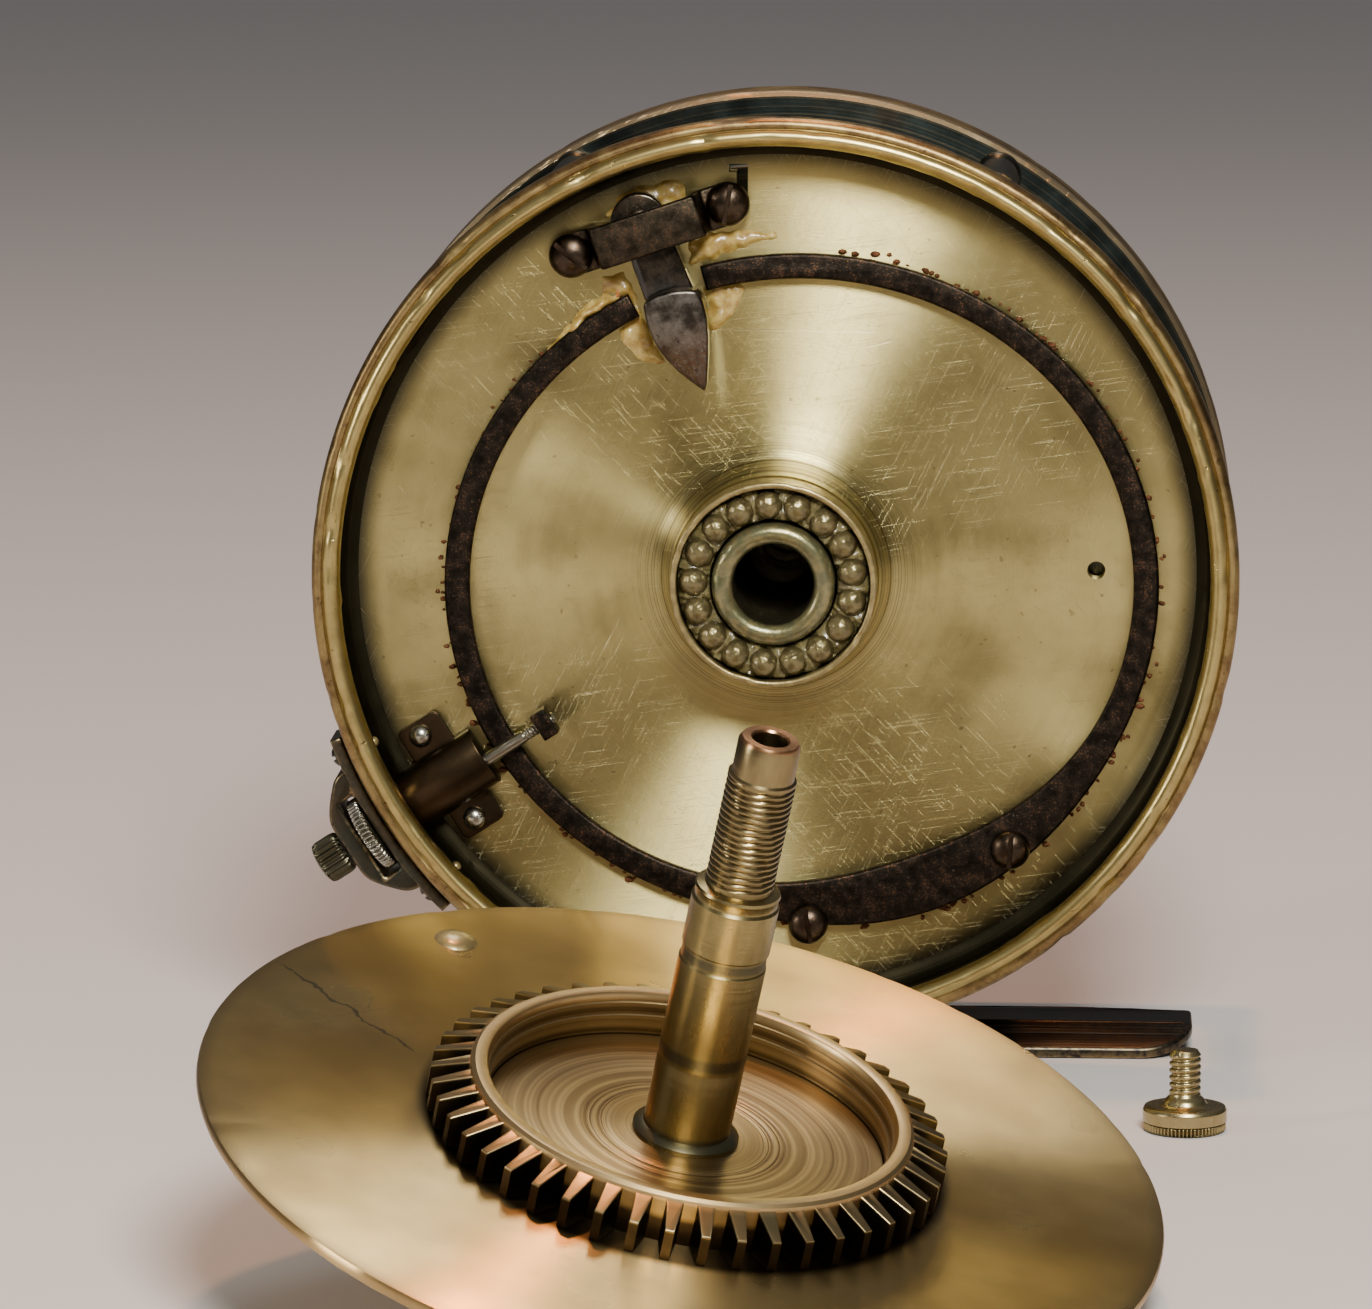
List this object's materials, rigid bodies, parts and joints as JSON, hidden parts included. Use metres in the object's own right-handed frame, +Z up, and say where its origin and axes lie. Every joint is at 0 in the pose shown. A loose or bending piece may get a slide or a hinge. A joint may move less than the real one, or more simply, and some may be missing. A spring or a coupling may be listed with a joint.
{
  "type": "dismantled ball bearing fly reel",
  "caption": "Fly reel opened for cleaning: cage with drum, ball race and click check, its handle plate with ratchet ring and spindle, and the thumb screw that holds them.",
  "frame": {"origin": "middle of the reel foot's underside, on its flat crown, where the foot sits on a rod's reel seat; the foot's side edges and the other pieces stand 1.8 mm below it", "axes": "+Z up; the hub axis runs along Y and the open front of the reel faces -Y; +X to the right seen from the front"},
  "size_m": [0.1022, 0.1944, 0.1065],
  "materials": {
    "turned_brass": "lathe-turned, lightly scratched, olive-gold",
    "polished_brass": "polished, warm gold",
    "oxidised_brass": "dark bronzed patina, worn bright at the edges",
    "rusty_steel": "blued steel with rust freckles and old grease",
    "bearing_steel": "polished balls under a film of old grease",
    "blackwood": "dark turned handle, waxed",
    "nickel_silver": "worn bright nickel silver"
  },
  "bodies": {
    "reel_body": {"check_housing": "turned_brass", "bearing_cup": "polished_brass", "pawl_post": "rusty_steel", "pawl_bridge": "rusty_steel", "bridge_screw_left": "rusty_steel", "bridge_screw_right": "rusty_steel", "check_spring": "rusty_steel", "spring_screw_1": "rusty_steel", "spring_screw_2": "rusty_steel", "regulator_block": "oxidised_brass", "block_rivet_1": "nickel_silver", "block_rivet_2": "nickel_silver", "regulator_cover": "oxidised_brass", "cover_rivet_1": "oxidised_brass", "cover_rivet_2": "oxidised_brass", "rear_plate": "oxidised_brass", "rear_bush": "polished_brass", "reel_foot": "oxidised_brass", "foot_saddle": "oxidised_brass", "foot_screw_1": "rusty_steel", "foot_screw_2": "rusty_steel", "pillar_1": "oxidised_brass", "pillar_2": "oxidised_brass", "pillar_3": "oxidised_brass", "pillar_4": "oxidised_brass", "pillar_5": "oxidised_brass", "pillar_6": "oxidised_brass"},
    "drum": {"line_drum": "turned_brass", "drum_bush": "polished_brass", "hub_sleeve": "turned_brass"},
    "ball_ring": {"ball_01": "bearing_steel", "ball_02": "bearing_steel", "ball_03": "bearing_steel", "ball_04": "bearing_steel", "ball_05": "bearing_steel", "ball_06": "bearing_steel", "ball_07": "bearing_steel", "ball_08": "bearing_steel", "ball_09": "bearing_steel", "ball_10": "bearing_steel", "ball_11": "bearing_steel", "ball_12": "bearing_steel", "ball_13": "bearing_steel", "ball_14": "bearing_steel", "ball_15": "bearing_steel", "ball_16": "bearing_steel", "ball_17": "bearing_steel"},
    "pawl_arm": {"pawl": "rusty_steel"},
    "regulator_adjuster": {"regulator_wheel": "nickel_silver", "regulator_knob": "oxidised_brass"},
    "regulator_screw": {"regulator_rod": "nickel_silver", "regulator_nut": "rusty_steel"},
    "handle_plate": {"face_plate": "polished_brass", "ratchet_ring": "polished_brass", "spindle": "polished_brass", "handle_pin": "polished_brass"},
    "handle": {"handle_knob": "blackwood"},
    "thumb_screw_body": {"thumb_screw": "nickel_silver"}
  },
  "joints": [
    {"name": "drum_spin", "type": "hinge", "parent": "reel_body", "child": "drum", "pos_m": [0, -0.024, 0.0539], "axis": [0, -1, 0], "continuous": true},
    {"name": "ball_orbit", "type": "hinge", "parent": "reel_body", "child": "ball_ring", "pos_m": [0, -0.024, 0.0539], "axis": [0, -1, 0], "continuous": true},
    {"name": "pawl_swing", "type": "hinge", "parent": "reel_body", "child": "pawl_arm", "pos_m": [-0.01498, -0.017, 0.09292], "axis": [0, -1, 0], "range_deg": [-12, 12], "stiffness_Nm_per_rad": 0.01, "deforming": ["check_spring"]},
    {"name": "regulator_turn", "type": "hinge", "parent": "reel_body", "child": "regulator_adjuster", "pos_m": [-0.04445, -0.0191, 0.02503], "axis": [-0.8387, 0, -0.5446], "range_deg": [0, 720]},
    {"name": "regulator_travel", "type": "slide", "parent": "reel_body", "child": "regulator_screw", "axis": [0.8387, 0, 0.5446], "range_m": [0, 0.001]},
    {"name": "handle_plate_lift", "type": "slide", "parent": "reel_body", "child": "handle_plate", "axis": [0, 0, 1], "range_m": [0, 0.06]},
    {"name": "handle_spin", "type": "hinge", "parent": "handle_plate", "child": "handle", "pos_m": [-0.02898, -0.09648, 0.02797], "axis": [0.2024, -0.2499, 0.9469], "continuous": true},
    {"name": "thumb_screw_lift", "type": "slide", "parent": "reel_body", "child": "thumb_screw_body", "axis": [0, 0, 1], "range_m": [0, 0.03]}
  ],
  "couplings": [
    {"joint": "ball_orbit", "follows": "drum_spin", "ratio": 0.409},
    {"joint": "regulator_turn", "follows": "regulator_travel", "rad_per_m": 12560}
  ]
}
